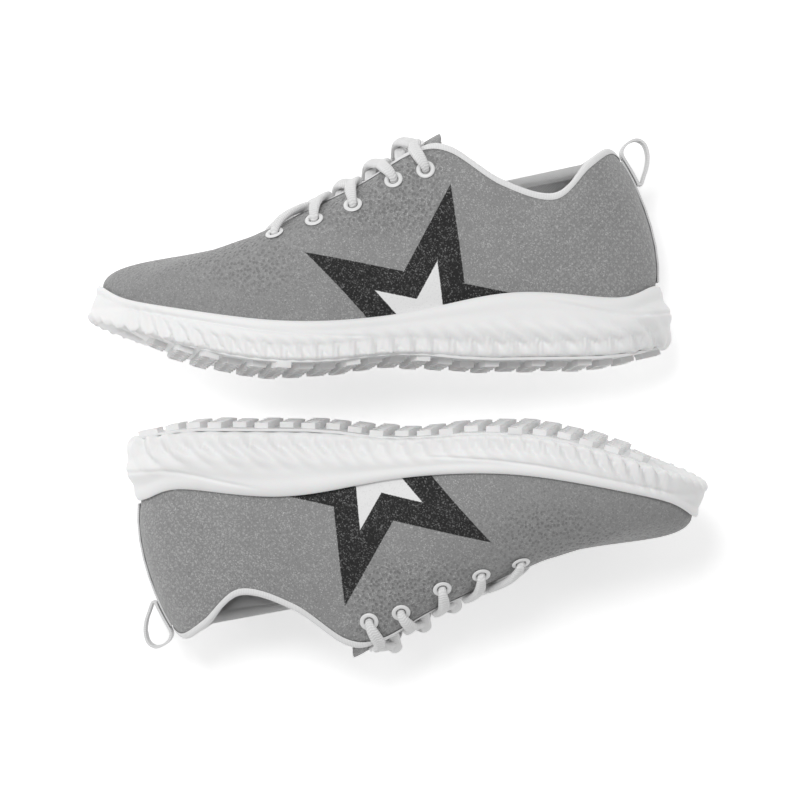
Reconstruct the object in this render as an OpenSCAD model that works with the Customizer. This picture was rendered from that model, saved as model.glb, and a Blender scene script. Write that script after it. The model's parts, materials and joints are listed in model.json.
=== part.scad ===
// Pair of lace-up cheer shoes, laid on their sides, sole to sole.
// Each shoe is drawn in its own frame, x from heel to toe, +y to the wearer's left, z up from the
// ground, and then laid down. The sizes and tables below are for the left shoe.

/* [Shoe] */
// Length of the sole, heel to toe
shoe_len = 274; // [245:1:330]
// Width of the sole across the ball of the foot
ball_w = 97; // [84:1:112]
// Width of the sole across the heel
heel_w = 71; // [60:1:84]
// Height of the front of the collar above the ground
collar_h = 105; // [90:1:126]

/* [Sole] */
// Depth of the tread lugs
lug_h = 2.6; // [1.5:0.1:4]
// Thickness of the outsole sheet that the lugs stand on
sheet_t = 1.4; // [0.8:0.1:2.5]
// Spacing of the lug rows along the sole
lug_row = 11; // [9:0.5:15]
// Spacing of the lugs across the sole
lug_gap = 12.5; // [10:0.5:18]
// Thickness of the board that closes the bottom of the upper
board_t = 1.2; // [0.8:0.1:2.5]
// Thickness of the removable insole
insole_t = 4.5; // [2.5:0.5:7]

/* [Upper] */
// Thickness of the printed outer fabric
fabric_t = 1.3; // [0.8:0.1:2]
// Thickness of the stiffeners between fabric and lining
stiffener_t = 1.1; // [0.6:0.1:1.6]
// Thickness of the inner lining
lining_t = 0.9; // [0.6:0.1:1.5]
// How far the collar padding swells inwards
collar_pad = 5.5; // [2:0.5:8]
// Height of the edge binding above the cut edge
binding_h = 2.2; // [1.5:0.1:3]
// Thickness of the tongue padding
tongue_pad = 4; // [2:0.5:7]

/* [Lacing] */
// Bore radius of an eyelet
eyelet_bore = 2.3; // [1.8:0.1:3]
// Outer radius of an eyelet's flange
eyelet_flange = 4.4; // [3.8:0.1:6]
// Width of the lace
lace_w = 5.6; // [4:0.1:7]
// Thickness of the lace
lace_t = 2.8; // [1.4:0.1:3.4]

/* [Heel] */
// Width of the heel tape and of the pull loop
tape_w = 9; // [6:0.5:14]
// Thickness of the webbing
tape_t = 1; // [0.6:0.1:1.6]

/* [Hidden] */

// ---- how the pair lies: turn on the floor, lean of the top, rise of the toe, and heel position
left_lie = [1, 3.1, 5.8, [131.5, 14.45, 31.6]];
right_lie = [-0.5, 2.6, 5.4, [-128.4, -10.05, 31.95]];

gap = 0.1;              // glue line between layers
glue = 0.15;            // between the upper and the cup of the midsole
sub = 2.25;               // surface stations between two rows of the last
rows = 12;              // rows of the last from toe to heel
turn = 2 * rows;        // rows all the way round
webbing = "whitesmoke";
knit = "dimgray";

// ---- small mathematics
function clamp(t) = max(0, min(1, t));
function ease(t) = let (c = clamp(t)) c * c * (3 - 2 * c);
function mix(a, b, t) = a + (b - a) * t;
function unit(v) = v / norm(v);
function spline(a, b, c, d, t) =
    0.5 * (2 * b + (c - a) * t + (2 * a - 5 * b + 4 * c - d) * t * t + (3 * b - a - 3 * c + d) * t * t * t);
function bezier(a, b, c, d, t) =
    a * pow(1 - t, 3) + b * 3 * t * pow(1 - t, 2) + c * 3 * t * t * (1 - t) + d * t * t * t;
// value of a table of [x, value] rows at x, on a smooth curve
function along(table, x) =
    let (n = len(table), k = max([for (i = [0:n - 2]) if (i == 0 || table[i][0] <= x) i]),
         t = clamp((x - table[k][0]) / (table[k + 1][0] - table[k][0])))
    spline(table[max(k - 1, 0)][1], table[k][1], table[k + 1][1], table[min(k + 2, n - 1)][1], t);

// ---- the last: one row per station from toe to heel on the lateral side
nominal_len = 274;
nominal_ball = 97;
nominal_heel = 71;
nominal_collar = 105;
// widest outline of the sole: x, half width
outline = [[274, 0], [268.5, 16], [254, 29.5], [231, 41.5], [203, 48], [173, 48.3], [141, 42],
    [108, 35.8], [76, 35], [47, 35.7], [21, 30], [5, 16], [0, 0]];
// top line of the upper, round the throat and the collar
topline = [[195, 0, 66], [193, 5, 66.6], [188.5, 9, 68.4], [180, 11.5, 72.3], [166, 13.8, 79],
    [146, 16.5, 88.6], [124, 20.8, 101.6], [108, 26, 102], [84, 31, 85.6], [59, 32.6, 78.6],
    [42, 28.6, 93.5], [31, 17, 100.8], [24.5, 0, 98.4]];
// pull of each meridian as it leaves the sole, and as it reaches the top line
rise = [[0.5, 0, 18], [1, 1, 16], [1, 2, 16], [0, 2.5, 17], [-1, 2.5, 22], [-4, 2.5, 27],
    [-4, 3, 24], [-2, 3.5, 20], [0, 4.5, 15], [-1, 4, 15], [-2, 3, 18], [-2.5, 1.5, 19],
    [-2.5, 0, 19.6]];
fall = [[30, 0, -14], [31, 4.5, -13.5], [28, 8.5, -11], [22, 12, -9], [16, 14, -8],
    [12, 13, -9], [7, 10, -16], [3, 5.5, -24], [0, 1.5, -15], [-1, 1.5, -15], [-5, 2, -18],
    [-9, 2, -17], [-10.5, 0, -16]];
// visible edge between sole and upper: x, height
feather = [[0, 39], [8, 38.4], [14, 35], [24, 31.9], [36, 32], [60, 34.4], [80, 35],
    [100, 32], [126, 26.3], [150, 23.2], [172, 21.9], [195, 22.8], [220, 26.4], [245, 31.2],
    [260, 35], [267, 38.4], [274, 44.6]];

wide_ball = ball_w / nominal_ball;
wide_heel = heel_w / nominal_heel;
long = shoe_len / nominal_len;
tall = collar_h / nominal_collar;

// ground line: heel bevel, arch and toe spring
function ground(x) =
    x > 180 ? 0.0033 * pow(x - 180, 2)
    : x < 45 ? 0.0047 * pow(45 - x, 2)
    : x > 90 && x < 175 ? 3.2 * pow(sin(180 * (x - 90) / 85), 2)
    : 0;
// level of the bottom of the cup in which the upper stands
function cup(x) = 24 - 8 * ease((x - 50) / 120) + (x > 180 ? 0.0026 * pow(x - 180, 2) : 0);
// the sole curves in towards the big toe
function bend(x) = x > 150 ? -9 * pow((x - 150) / 124, 2) : 2.5 * ease((x - 40) / 60) * ease((150 - x) / 50);
function heelness(x) = 1 - ease(x / 95);
function toeness(x) = ease((x - 225) / 45);
// from the last's own figures to the sizes asked for
function fit(p) = [p.x * long, p.y * mix(wide_heel, wide_ball, ease((p.x - 40) / 130)) + bend(p.x), p.z];

function mirror_row(table, k) =
    let (r = (k % turn + turn) % turn, v = table[r <= rows ? r : turn - r])
    r <= rows ? v : [for (i = [0:len(v) - 1]) i == 1 ? -v[i] : v[i]];
function round_table(table, u) =
    let (k = floor(u), t = u - k)
    spline(mirror_row(table, k - 1), mirror_row(table, k),
           mirror_row(table, k + 1), mirror_row(table, k + 2), t);

function plan(u) = round_table(outline, u);
function inward(u) =
    let (d = plan(u + 0.02) - plan(u - 0.02)) unit([d.y, -d.x]) * -1;
// a point of the sole: inset from the outline at station u
function inset(u, d) = plan(u) + inward(u) * d;

// layers of the upper, counted inwards from its outer face
function upper_inset(x) = 4.5 + 3.5 * heelness(x);
under_curl = 2;
function foot(u) = let (q = inset(u, upper_inset(plan(u).x))) [q.x, q.y, along(feather, q.x)];
function heel_foot(u) =
    let (q = inset(u, upper_inset(plan(u).x) + under_curl)) [q.x, q.y, cup(q.x)];
function top(u) =
    let (t = round_table(topline, u), f = foot(u)) [t.x, t.y, f.z + (t.z - f.z) * tall];
// outer face of the upper: v runs from -1 at the board, over 0 at the feather edge, to 1
function skin(u, v) =
    v < 0 ? mix(foot(u), heel_foot(u), -v)
    : let (f = foot(u), t = top(u))
      bezier(f, f + round_table(rise, u), t + round_table(fall, u), t, v);
function outward(u, v) =
    let (w = max(v, 0.02), a = skin(u + 0.05, w) - skin(u - 0.05, w),
         b = skin(u, min(w + 0.02, 1)) - skin(u, w - 0.02), n = unit(cross(a, b)))
    v < 0 ? unit(mix(n, [n.x, n.y, 0], -v)) : n;
function layer(u, v, depth) = skin(u, v) - outward(u, v) * depth;

stiff_in = fabric_t + gap;
lining_out = fabric_t + stiffener_t + 2 * gap;
// swell of the collar padding: round the ankle, in the upper half of the wall
function swell(u, v) =
    let (r = u > rows ? turn - u : u)
    collar_pad * ease((r - 7.1) / 1.6) * ease((v - 0.44) / 0.3) * (1 - 0.6 * ease((v - 0.82) / 0.18));
function lining_in(u, v) = lining_out + lining_t + swell(u, v);

// ---- meshes
function quad(a, b, c, d) = [[a, b, c], [a, c, d]];
// closed slab between two depths over a patch of the upper
module patch(us, vs, outer, inner, closed = false) {
    m = len(us);
    n = len(vs);
    last = closed ? m - 1 : m - 2;
    points = [for (u = us, v = vs) fit(layer(u, v, outer(u, v))),
              for (u = us, v = vs) fit(layer(u, v, inner(u, v)))];
    function o(i, j) = (i % m) * n + j;
    function q(i, j) = m * n + o(i, j);
    faces = [
        for (i = [0:last], j = [0:n - 2]) each quad(o(i, j), o(i, j + 1), o(i + 1, j + 1), o(i + 1, j)),
        for (i = [0:last], j = [0:n - 2]) each quad(q(i, j), q(i + 1, j), q(i + 1, j + 1), q(i, j + 1)),
        for (i = [0:last]) each quad(o(i, 0), o(i + 1, 0), q(i + 1, 0), q(i, 0)),
        for (i = [0:last]) each quad(o(i, n - 1), q(i, n - 1), q(i + 1, n - 1), o(i + 1, n - 1)),
        if (!closed) for (j = [0:n - 2]) each quad(o(0, j), q(0, j), q(0, j + 1), o(0, j + 1)),
        if (!closed) for (j = [0:n - 2])
            each quad(o(m - 1, j), o(m - 1, j + 1), q(m - 1, j + 1), q(m - 1, j))];
    polyhedron(points, faces);
}

// closed stack of rings round the sole, capped by strips that run straight across
module rings(stack) {
    n = len(stack[0]);
    half = n / 2;
    top_ring = (len(stack) - 1) * n;
    function at(r, i) = r * n + i % n;
    faces = [
        for (r = [0:len(stack) - 2], i = [0:n - 1])
            each quad(at(r, i), at(r + 1, i), at(r + 1, i + 1), at(r, i + 1)),
        [0, 1, n - 1],
        for (k = [1:half - 2]) each quad(k, k + 1, n - k - 1, n - k),
        [half - 1, half, half + 1],
        [top_ring, top_ring + n - 1, top_ring + 1],
        for (k = [1:half - 2])
            each quad(top_ring + k, top_ring + n - k, top_ring + n - k - 1, top_ring + k + 1),
        [top_ring + half, top_ring + half - 1, top_ring + half + 1]];
    polyhedron([for (ring = stack) each ring], faces);
}

stations = [for (i = [0:turn * sub - 1]) i / sub];
function between(from, to) = [for (i = [ceil(from * sub):floor(to * sub)]) i / sub];
function ring(depth, height) =
    [for (u = stations) let (x = plan(u).x, q = inset(u, depth(x))) fit([q.x, q.y, height(q.x)])];

// ---- sole
function bottom_inset(x) = 6 + 8 * toeness(x) + 2 * heelness(x);
function sole_base(x) = ground(x) + lug_h + sheet_t;
// side of the midsole: share of its height, inset at the forefoot and at the heel
side = [[0, 6, 8], [0.2, 1.7, 1.5], [0.42, 0, 0], [0.6, 0.6, 1.2], [0.72, 1.8, 4.8],
    [0.86, 1.1, 4.4], [1, 3, 6.6]];

function side_ring(row) =
    [for (u = stations)
        let (x = plan(u).x, low = inset(u, bottom_inset(x)), b = sole_base(low.x),
             q = inset(u, row[0] == 0 ? bottom_inset(x)
                 : mix(row[1], row[2], heelness(x)) + 2 * toeness(x) * pow(1 - row[0], 4)),
             f = along(feather, x))
        fit([q.x, q.y, row[0] == 0 ? b : mix(b, f, row[0])])];

module midsole() {
    cup_top = [for (u = stations)
        fit(let (q = inset(u, upper_inset(plan(u).x) - glue)) [q.x, q.y, along(feather, q.x) - 0.4])];
    cup_low = [for (u = stations)
        fit(let (q = inset(u, upper_inset(plan(u).x) + under_curl - glue)) [q.x, q.y, cup(q.x) - glue])];
    color("white") rings([for (row = side) side_ring(row), cup_top, cup_low]);
}

sheet_margin = 0.6;
function sheet_edge(x) = bottom_inset(x) + sheet_margin;

lug_len = lug_row - 2.2;
lug_wide = lug_gap - 2;
lug_nose = 2.4;
lug_bite = 0.4;
lug_margin = 4.5;
// half width that is left for lugs at x
function tread_half(x) =
    let (w = [for (u = [0:0.25:rows]) let (q = inset(u, sheet_edge(plan(u).x))) [-q.x, q.y]])
    lookup(-x, w);
function slope(x) = atan2(ground(x + 1) - ground(x - 1), 2 * long);

module lug() {
    linear_extrude(lug_h + lug_bite)
        polygon([[lug_len / 2, 0], [lug_len / 2 - lug_nose, lug_wide / 2], [-lug_len / 2, lug_wide / 2],
                 [lug_nose - lug_len / 2, 0], [-lug_len / 2, -lug_wide / 2],
                 [lug_len / 2 - lug_nose, -lug_wide / 2]]);
}

module lugs() {
    first = 14;
    last_row = floor((nominal_len * long - 26 - first) / lug_row);
    for (r = [0:last_row]) {
        x = (first + r * lug_row) / long;
        room = tread_half(x) * mix(wide_heel, wide_ball, ease((x - 40) / 130)) - lug_margin;
        shift = r % 2 == 0 ? 0 : 0.5;
        for (c = [-5:5]) {
            y = (c + shift) * lug_gap;
            if (abs(y) <= room)
                translate([x * long, y + bend(x), ground(x)])
                    rotate([0, -slope(x), 0]) lug();
        }
    }
}

module outsole() {
    color("gainsboro") union() {
        rings([ring(function(x) sheet_edge(x), function(x) ground(x) + lug_h),
               ring(function(x) sheet_edge(x), function(x) sole_base(x) - glue)]);
        lugs();
    }
}

board_edge = under_curl + fabric_t + gap;
module lasting_board() {
    color("ivory") rings([
        ring(function(x) upper_inset(x) + board_edge, function(x) cup(x)),
        ring(function(x) upper_inset(x) + board_edge, function(x) cup(x) + board_t)]);
}

insole_play = 0.7;
insole_edge = under_curl + lining_out + lining_t + insole_play;
module insole() {
    base = board_t + gap;
    color("lightgray") rings([
        ring(function(x) upper_inset(x) + insole_edge + 0.8, function(x) cup(x) + base),
        ring(function(x) upper_inset(x) + insole_edge, function(x) cup(x) + base + 1.2),
        ring(function(x) upper_inset(x) + insole_edge, function(x) cup(x) + base + insole_t - 1),
        ring(function(x) upper_inset(x) + insole_edge + 1.2, function(x) cup(x) + base + insole_t)]);
}

// ---- upper
wall = [-1, 0, 0.22, 0.44, 0.62, 0.74, 0.86, 1];
lining_wall = [-0.8, 0, 0.22, 0.44, 0.62, 0.74, 0.86, 1];
// where the eyelets sit: round the last, and up the wall
eyelet_at = [[3.6, 0.68], [4.4, 0.69], [5.1, 0.71], [5.75, 0.8], [6.45, 0.84]];
hole_r = eyelet_bore + 0.75;
barrel_wall = 0.6;

module at_eyelet(u, v) {
    p = fit(skin(u, v));
    n = unit(cross(fit(skin(u + 0.05, v)) - fit(skin(u - 0.05, v)),
                   fit(skin(u, v + 0.02)) - fit(skin(u, v - 0.02))));
    translate(p) rotate([0, acos(n.z), atan2(n.y, n.x)]) children();
}
module each_eyelet()
    for (k = [0:len(eyelet_at) - 1], s = [0, 1])
        at_eyelet(s == 0 ? eyelet_at[k][0] : turn - eyelet_at[k][0], eyelet_at[k][1]) children();
module eyelet_holes() each_eyelet() translate([0, 0, -6]) cylinder(h = 9, r = hole_r, $fn = 12);

module upper()
    color(knit) difference() {
        patch(stations, wall, function(u, v) 0, function(u, v) fabric_t, true);
        eyelet_holes();
    }

module lining()
    color("white") difference() {
        patch(stations, lining_wall, function(u, v) lining_out + swell(u, v),
              function(u, v) lining_in(u, v), true);
        eyelet_holes();
    }

// stiffeners lie between fabric and lining
module stiffener(us, vs)
    patch(us, vs, function(u, v) stiff_in, function(u, v) stiff_in + stiffener_t);

module toe_puff() color("tan") stiffener(between(-2.3, 2.3), [-0.35, 0, 0.22, 0.44, 0.62]);
module heel_counter() color("tan") stiffener(between(9.7, 14.3), [-0.35, 0, 0.22, 0.44]);

module collar_foam()
    color("khaki") patch(between(7.1, 16.9), [0.46, 0.62, 0.74, 0.86, 1],
        function(u, v) stiff_in, function(u, v) lining_out - gap + swell(u, v));

module eyestay_backing()
    color("silver") difference() {
        for (s = [0, 1])
            stiffener(s == 0 ? between(2.6, 6.7) : between(turn - 6.7, turn - 2.6),
                      [0.44, 0.62, 0.74, 0.86, 1]);
        eyelet_holes();
    }

// binding bead that closes the cut edge all the way round
module topline_binding() {
    function section(u) =
        let (p = skin(u, 1), n = outward(u, 1), m = unit(skin(u, 1) - skin(u, 0.97)), d = lining_in(u, 1))
        [for (c = [[-0.4, 0.5], [-0.4, 0.6 * binding_h], [0.9, binding_h], [d - 0.9, binding_h],
                   [d + 0.4, 0.6 * binding_h], [d + 0.4, 0.5]])
            fit(p - n * c[0] + m * c[1])];
    ring_points = [for (u = stations) section(u)];
    n = len(stations);
    k = 6;
    function id(i, j) = (i % n) * k + j % k;
    color(webbing) polyhedron([for (r = ring_points) each r],
        [for (i = [0:n - 1], j = [0:k - 1])
            each quad(id(i, j), id(i, j + 1), id(i + 1, j + 1), id(i + 1, j))]);
}

// surface of the finished shoe, and its true normal
function real(u, v) = fit(skin(u, v));
function real_normal(u, v) =
    unit(cross(real(u + 0.05, v) - real(u - 0.05, v), real(u, min(v + 0.02, 1)) - real(u, min(v, 0.98) - 0.02)));
// up the surface at the cut edge
function edge_up(u) = unit(real(u, 1) - real(u, 0.97));

// ---- tongue: centre line of its outer face, its arch, and its half width
tongue_line = [[206, 56.8], [195, 60.4], [188, 63.8], [180, 68.4], [166, 76.8], [146, 89.4], [135, 96.6],
    [124, 103.8], [115, 109.4], [109.5, 112]];
tongue_arch = [[206, 0.012], [195, 0.014], [188, 0.022], [180, 0.031], [166, 0.039], [146, 0.04],
    [135, 0.038], [124, 0.037], [109.5, 0.032]];
tongue_half = [[206, 13], [200, 14], [194, 15], [188, 16], [181, 17], [174, 18], [166, 19], [158, 19.5],
    [149, 19.5], [140, 19.2], [131, 18.5], [122, 17.5], [115, 16], [111, 13.5],
    [109.5, 10.5]];
throat_foot = 27.5;
tongue_cover_t = 0.8;
tongue_rim = 2.5;

function rising(table, x) =
    let (n = len(table)) along([for (i = [n - 1:-1:0]) table[i]], x);
function tongue_z(x, y) =
    throat_foot + (rising(tongue_line, x) - rising(tongue_arch, x) * y * y - throat_foot) * tall;
function tongue_normal(x, y) =
    unit([-(tongue_z(x + 0.5, y) - tongue_z(x - 0.5, y)), -(tongue_z(x, y + 0.5) - tongue_z(x, y - 0.5)), 1]);
// a point of the tongue at a height above its outer face
function on_tongue(x, y, h) = fit([x, y, tongue_z(x, y)] + tongue_normal(x, y) * h);
function foam_t(x, w) =
    tongue_pad * (1 - pow(abs(w), 3)) * (0.35 + 0.65 * ease((205 - x) / 30)) * (1 - 0.5 * ease((116 - x) / 7));

across = [-1, -0.7, -0.36, 0, 0.36, 0.7, 1];
// slab of the tongue between two depths; share is the part of the full width
module tongue_slab(rows_x, share, upper_h, lower_h) {
    n = len(across);
    m = len(rows_x);
    points = [for (h = [upper_h, lower_h], x = rows_x, w = across)
        on_tongue(x, w * share * rising(tongue_half, x), h(x, w * share))];
    function o(i, j) = i * n + j;
    function q(i, j) = m * n + o(i, j);
    polyhedron(points, [
        for (i = [0:m - 2], j = [0:n - 2]) each quad(o(i, j), o(i + 1, j), o(i + 1, j + 1), o(i, j + 1)),
        for (i = [0:m - 2], j = [0:n - 2]) each quad(q(i, j), q(i, j + 1), q(i + 1, j + 1), q(i + 1, j)),
        for (i = [0:m - 2]) each quad(o(i, 0), q(i, 0), q(i + 1, 0), o(i + 1, 0)),
        for (i = [0:m - 2]) each quad(o(i, n - 1), o(i + 1, n - 1), q(i + 1, n - 1), q(i, n - 1)),
        for (j = [0:n - 2]) each quad(o(0, j), o(0, j + 1), q(0, j + 1), q(0, j)),
        for (j = [0:n - 2]) each quad(o(m - 1, j), q(m - 1, j), q(m - 1, j + 1), o(m - 1, j + 1))]);
}
tongue_rows = [for (t = tongue_half) t[0]];
foam_rows = [200, 194, 188, 181, 174, 166, 158, 149, 140, 131, 122, 115, 112.5];
module tongue_cover()
    color(knit) tongue_slab(tongue_rows, 1, function(x, w) 0, function(x, w) -tongue_cover_t);
module tongue_foam()
    color("khaki") tongue_slab(foam_rows, 0.88, function(x, w) -tongue_cover_t - 4 * gap,
        function(x, w) -tongue_cover_t - 4 * gap - max(foam_t(x, w), 0.4));
module tongue_lining()
    color("white") tongue_slab(tongue_rows, 1,
        function(x, w) -tongue_cover_t - 7 * gap - foam_t(x, w) - 0.4 * (1 - pow(abs(w), 12)),
        function(x, w) -tongue_cover_t - 7 * gap - foam_t(x, w) - 0.4 - tongue_cover_t);

keeper_x = [117, 126];
keeper_t = 0.9;
keeper_half = 9;
keeper_slot = 1.6;
module lace_keeper() {
    low = on_tongue(keeper_x[1], 0, keeper_t);
    high = on_tongue(keeper_x[0], 0, keeper_t);
    pitch = atan2(high.z - low.z, low.x - high.x);
    color(webbing) difference() {
        tongue_slab([keeper_x[1], 0.5 * (keeper_x[0] + keeper_x[1]), keeper_x[0]], keeper_half / 20,
            function(x, w) keeper_t, function(x, w) 0.12);
        for (y = [-4.5, 4.5])
            translate((low + high) / 2 + [0, y, 0]) rotate([0, pitch, 0])
                cube([4, keeper_slot, 12], center = true);
    }
}

// ---- lacing
flange_t = 0.9;
rim_t = 0.75;
seat = fabric_t + stiffener_t + lining_t + 3 * gap;
play = 0.35;
tongue_play = 0.65;
module eyelets()
    color("white") each_eyelet() rotate_extrude($fn = 48)
        polygon([[eyelet_bore, 0.3], [eyelet_bore + 0.5, flange_t], [eyelet_flange - 0.6, flange_t],
                 [eyelet_flange, 0.5], [eyelet_flange, 0.25], [eyelet_bore + barrel_wall, 0.25],
                 [eyelet_bore + barrel_wall, -seat - 0.45], [eyelet_flange - 0.9, -seat - 0.45],
                 [eyelet_flange - 0.9, -seat - rim_t], [eyelet_bore, -seat - rim_t]]);

function at_side(u, s) = s > 0 ? u : turn - u;
// beside eyelet k on side s: a along the surface to the throat, h above the surface
function beside(k, s, a, h) =
    let (u = at_side(eyelet_at[k][0], s), v = eyelet_at[k][1], p = real(u, v), n = real_normal(u, v),
         e = real(u, 1) - p, f = unit(e - n * (e * n)))
    p + f * a + n * h;
// over the bound edge, and under it
function before_edge(u, s) =
    let (w = at_side(u, s))
    real(w, 1) + real_normal(w, 1) * (1 + play + lace_t / 2) - edge_up(w) * 0.2;
function on_edge(u, s) =
    let (w = at_side(u, s))
    real(w, 1) + real_normal(w, 1) * (0.6 + play + lace_t / 2)
        + edge_up(w) * (0.6 * binding_h + play + 0.7 + lace_t / 2);
function over_edge(u, s) =
    let (w = at_side(u, s))
    real(w, 1) - real_normal(w, 1) * 0.8 + edge_up(w) * (binding_h + play + 0.8 + lace_t / 2);
function under_edge(u, s, down = 0) =
    let (w = at_side(u, s))
    real(w, 1) - real_normal(w, 1) * (lining_in(w, 1) + 0.85 + play + flat_t) - edge_up(w) * down;
function beneath(u, v, s, more = 0) =
    let (w = at_side(u, s)) real(w, v) - real_normal(w, v) * (lining_in(w, v) + play + 0.4 + more + flat_t);
half_t = lace_t / 2;
// a lace is pressed flatter where it lies under the edge
pressed = 0.7;
flat_t = pressed * half_t;
high_run = flange_t + play + half_t;
low_run = -(seat + rim_t + play + flat_t);
// rows between an eyelet and the place where its lace comes over the edge
reach = [0.2, 0.36, 0.36, 0.38, 0.42];
last_k = len(eyelet_at) - 1;
// rows of the route are a point, the share of the full width, and the share of the full thickness
// from the edge along the outside to eyelet k
function riding(k, s, t) =
    let (u = at_side(eyelet_at[k][0] - reach[k] * t, s), v = mix(eyelet_at[k][1], 1, t))
    real(u, v) + real_normal(u, v) * (high_run + 0.9 * sin(180 * min(t + 0.15, 1)));
function over(k, s) =
    let (u = eyelet_at[k][0] - reach[k])
    [[over_edge(u, s), 1, 1], [on_edge(u, s), 1, 1], [before_edge(u + 0.02, s), 1, 1],
     [riding(k, s, 0.62), 1, 1], [riding(k, s, 0.3), 0.92, 1]];
// down through eyelet k, and under the lining towards the throat
function bore(k, s) =
    [[beside(k, s, 0.7, high_run - 0.3), 0.62, 0.8], [beside(k, s, 0, 0), 0.5, 0.76],
     [beside(k, s, 0, -2.2), 0.5, 0.76],
     [beside(k, s, k == last_k ? -0.5 : 0.5, low_run + 1), 0.5, 0.76]];
function below(k, s) =
    [[beside(k, s, 2.6, low_run - 0.1), 0.66, pressed], [beside(k, s, 5.2, low_run), 0.8, pressed]];
// from under the edge at eyelet k on side s to over the edge at eyelet k + 1 on the other side
function crossing(k, s) =
    let (from = skin(eyelet_at[k][0], 1).x, to = skin(eyelet_at[k + 1][0] - reach[k + 1], 1).x,
         base = tongue_play + half_t + (k == last_k - 1 ? keeper_t : 0),
         level = (s > 0 ? 0 : lace_t + play) + base)
    [[under_edge(eyelet_at[k][0] + 0.06, s, 1), 0.85, pressed],
     [on_tongue(mix(from, to, 0.15), 10 * s, base - half_t + flat_t), 0.9, pressed],
     [on_tongue(mix(from, to, 0.28), 6 * s, base - half_t + flat_t + (s > 0 ? 0.1 : 0.7)), 0.95, pressed],
     [on_tongue(mix(from, to, 0.5), 0, level), 1, 1],
     [on_tongue(mix(from, to, 0.73), -6.5 * s, level + 2.4), 1, 1]];
// shares of the lace's width and thickness where its tip grips it
end_wide = 0.42;
end_thick = 0.8;
// from the top eyelet down inside the shoe, to its tip
function tail(s) = [
    [beside(last_k, s, -2.6, low_run), 0.7, pressed], [beneath(6.5, 0.72, s, 0.2), 0.85, pressed],
    [beneath(6.6, 0.64, s, 0.5), 0.85, pressed], [beneath(6.7, 0.56, s, 0.9), 0.7, 0.8],
    [beneath(6.75, 0.5, s, 1.2), end_wide, end_thick], [beneath(6.8, 0.44, s, 1.4), end_wide, end_thick]];
function climb(k, s) =
    concat(over(k, s), bore(k, s),
           k == last_k ? tail(s) : concat(below(k, s), crossing(k, s), climb(k + 1, -s)));
bar_x = skin(eyelet_at[0][0] - reach[0], 1).x;
bar_up = tongue_play + half_t;
bar = [[on_tongue(bar_x + 0.5, 5, bar_up + 1), 1, 1], [on_tongue(bar_x + 0.5, 0, bar_up + 0.4), 1, 1],
       [on_tongue(bar_x + 0.5, -5, bar_up + 1), 1, 1]];
function flip(list) = [for (i = [len(list) - 1:-1:0]) list[i]];
route = concat(flip(climb(0, 1)), bar, climb(0, -1));
lace_flat = unit([-0.86, 0, 0.5]);
module lace() {
    n = len(route);
    k = 6;
    function direction(i) = unit(route[min(i + 1, n - 1)][0] - route[max(i - 1, 0)][0]);
    function section(i) =
        let (t = direction(i), w = unit(lace_flat - t * (lace_flat * t)), o = cross(t, w),
             a = lace_w / 2 * route[i][1], b = half_t * route[i][2])
        [for (c = [[1, 0], [0.6, 1], [-0.6, 1], [-1, 0], [-0.6, -1], [0.6, -1]])
            route[i][0] + w * a * c[0] + o * b * c[1]];
    faces = [for (i = [0:n - 2], j = [0:k - 1])
        each quad(i * k + j, (i + 1) * k + j, (i + 1) * k + (j + 1) % k, i * k + (j + 1) % k)];
    caps = [for (j = [1:k - 2]) [0, j, j + 1],
            for (j = [1:k - 2]) [(n - 1) * k, (n - 1) * k + j + 1, (n - 1) * k + j]];
    color(webbing) polyhedron([for (i = [0:n - 1]) each section(i)], concat(faces, caps));
}

aglet_len = 13;
// the tip goes round the pressed end of the lace
aglet_bore = norm([0.6 * end_wide * lace_w / 2, end_thick * half_t]) + 0.18;
aglet_r = aglet_bore + 0.4;
module aglets()
    for (s = [1, -1]) {
        end = tail(s);
        n = len(end);
        d = unit(end[n - 1][0] - end[n - 2][0]);
        color("gainsboro") translate(end[n - 1][0] - d * 3) rotate([0, acos(d.z), atan2(d.y, d.x)])
            difference() {
                cylinder(h = aglet_len, r = aglet_r);
                translate([0, 0, -1]) cylinder(h = 4.5, r = aglet_bore);
            }
    }

// ---- heel
heel_row = 16.5;
tape_u = tape_w / 2 / heel_row;
module heel_tape()
    color(webbing) patch([for (i = [-1, -0.4, 0.4, 1]) rows + tape_u * i],
        [0.03, 0.16, 0.3, 0.44, 0.58, 0.7, 0.8, 0.88, 0.96],
        function(u, v) -tape_t - 3 * gap, function(u, v) -3 * gap);

loop_t = 1.2;
loop_lay = tape_t + 3 * gap + 0.35 + loop_t / 2;
// free part of the loop, measured from the top of the heel
loop_run = [[-1.6, 3], [-3.6, 7], [-8.4, 9.4], [-12.4, 7.4], [-14, 2.4], [-13.6, -3], [-12, -8], [-10.6, -12]];
loop_steps = 5;
module pull_loop() {
    heel_top = real(rows, 1);
    lain = [for (v = [0.76, 0.82, 0.88, 0.94])
        let (p = real(rows, v) + real_normal(rows, v) * loop_lay) [p.x, p.z]];
    mark = concat([lain[2], lain[3]], [for (p = loop_run) [heel_top.x + p.x, heel_top.z + p.y]]);
    m = len(mark);
    line = concat(lain, [for (i = [1:m - 2], t = [1:loop_steps])
        spline(mark[i - 1], mark[i], mark[i + 1], mark[min(i + 2, m - 1)], t / loop_steps)]);
    n = len(line);
    function edge(side) = [for (i = [0:n - 1])
        let (t = line[(i + 1) % n] - line[(i + n - 1) % n], m = [-t.y, t.x] / norm(t))
        line[i] + m * side * loop_t / 2];
    color(webbing) translate([0, tape_w / 2 + bend(20), 0]) rotate([90, 0, 0])
        linear_extrude(tape_w) difference() {
            polygon(edge(-1));
            polygon(edge(1));
        }
}

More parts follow.
